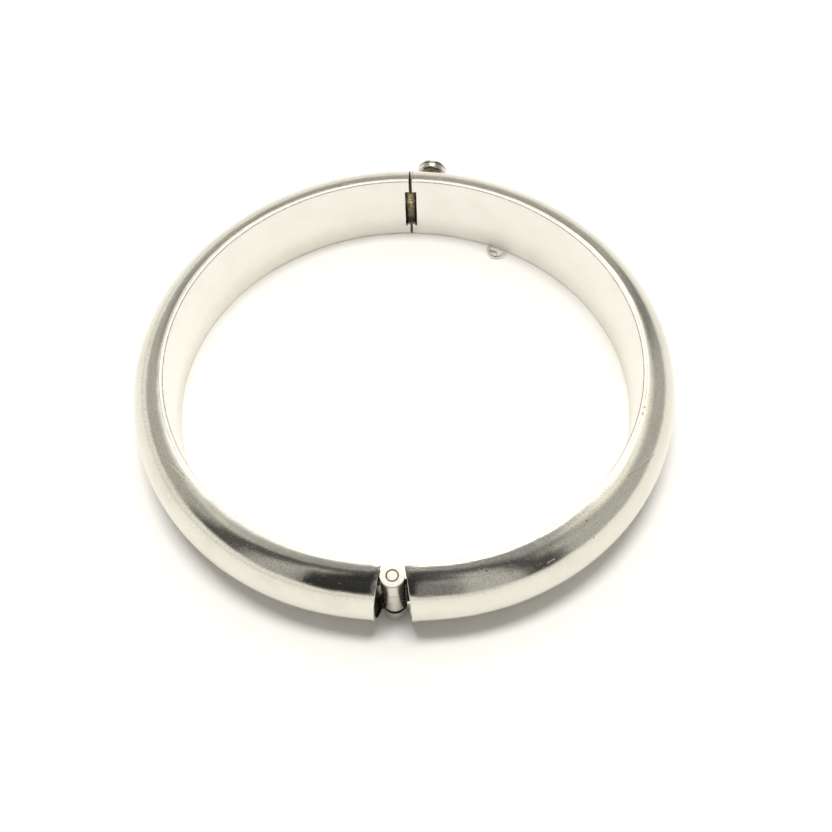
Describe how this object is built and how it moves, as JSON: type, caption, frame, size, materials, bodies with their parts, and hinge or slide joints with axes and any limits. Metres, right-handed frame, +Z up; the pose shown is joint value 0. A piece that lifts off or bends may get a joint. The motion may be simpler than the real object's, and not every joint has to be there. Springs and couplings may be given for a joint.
{
  "type": "hinged bangle bracelet",
  "caption": "Hollow polished silver bangle with a D-shaped band, a riveted hinge, a push-button spring clasp and a chain loop.",
  "frame": {"origin": "centre of the wrist opening, on the plane that the band rests on", "axes": "+Z up along the wrist, +Y towards the clasp seam, -Y towards the hinge, +X towards the half with the push button"},
  "size_m": [0.0678, 0.0676, 0.0106],
  "materials": {
    "polished_silver": "polished, fine scratches, slightly warm",
    "hinge_silver": "polished, worn, brown in the joints",
    "button_silver": "polished outside, dark inside the cup",
    "tarnished_silver": "dark tarnish with worn tan highlights",
    "spring_silver": "dull, partly tarnished",
    "wire_silver": "bright wire"
  },
  "bodies": {
    "left_half": {"left_shell": "polished_silver", "left_liner": "polished_silver", "left_hinge_plate": "tarnished_silver", "left_clasp_plate": "tarnished_silver", "hinge_knuckle_top": "hinge_silver", "hinge_knuckle_bottom": "hinge_silver", "hinge_pin": "hinge_silver", "tongue_leaf": "spring_silver", "locating_roll": "tarnished_silver"},
    "right_half": {"right_shell": "polished_silver", "right_liner": "polished_silver", "right_hinge_plate": "tarnished_silver", "catch_lip_upper": "tarnished_silver", "catch_lip_lower": "tarnished_silver", "hinge_knuckle_middle": "hinge_silver", "chain_loop": "wire_silver"},
    "push_button": {"spring_leaf": "spring_silver", "button_stem": "button_silver", "button_head": "button_silver"}
  },
  "joints": [
    {"name": "opening_hinge", "type": "hinge", "parent": "left_half", "child": "right_half", "pos_m": [0, -0.02915, 0.0053], "axis": [0, 0, -1], "range_deg": [0, 55]},
    {"name": "button_press", "type": "hinge", "parent": "left_half", "child": "push_button", "pos_m": [0.0068, 0.02913, 0.0053], "axis": [0, 0, 1], "range_deg": [0, 7], "stiffness_Nm_per_rad": 0.05, "springref_deg": -1.72}
  ]
}
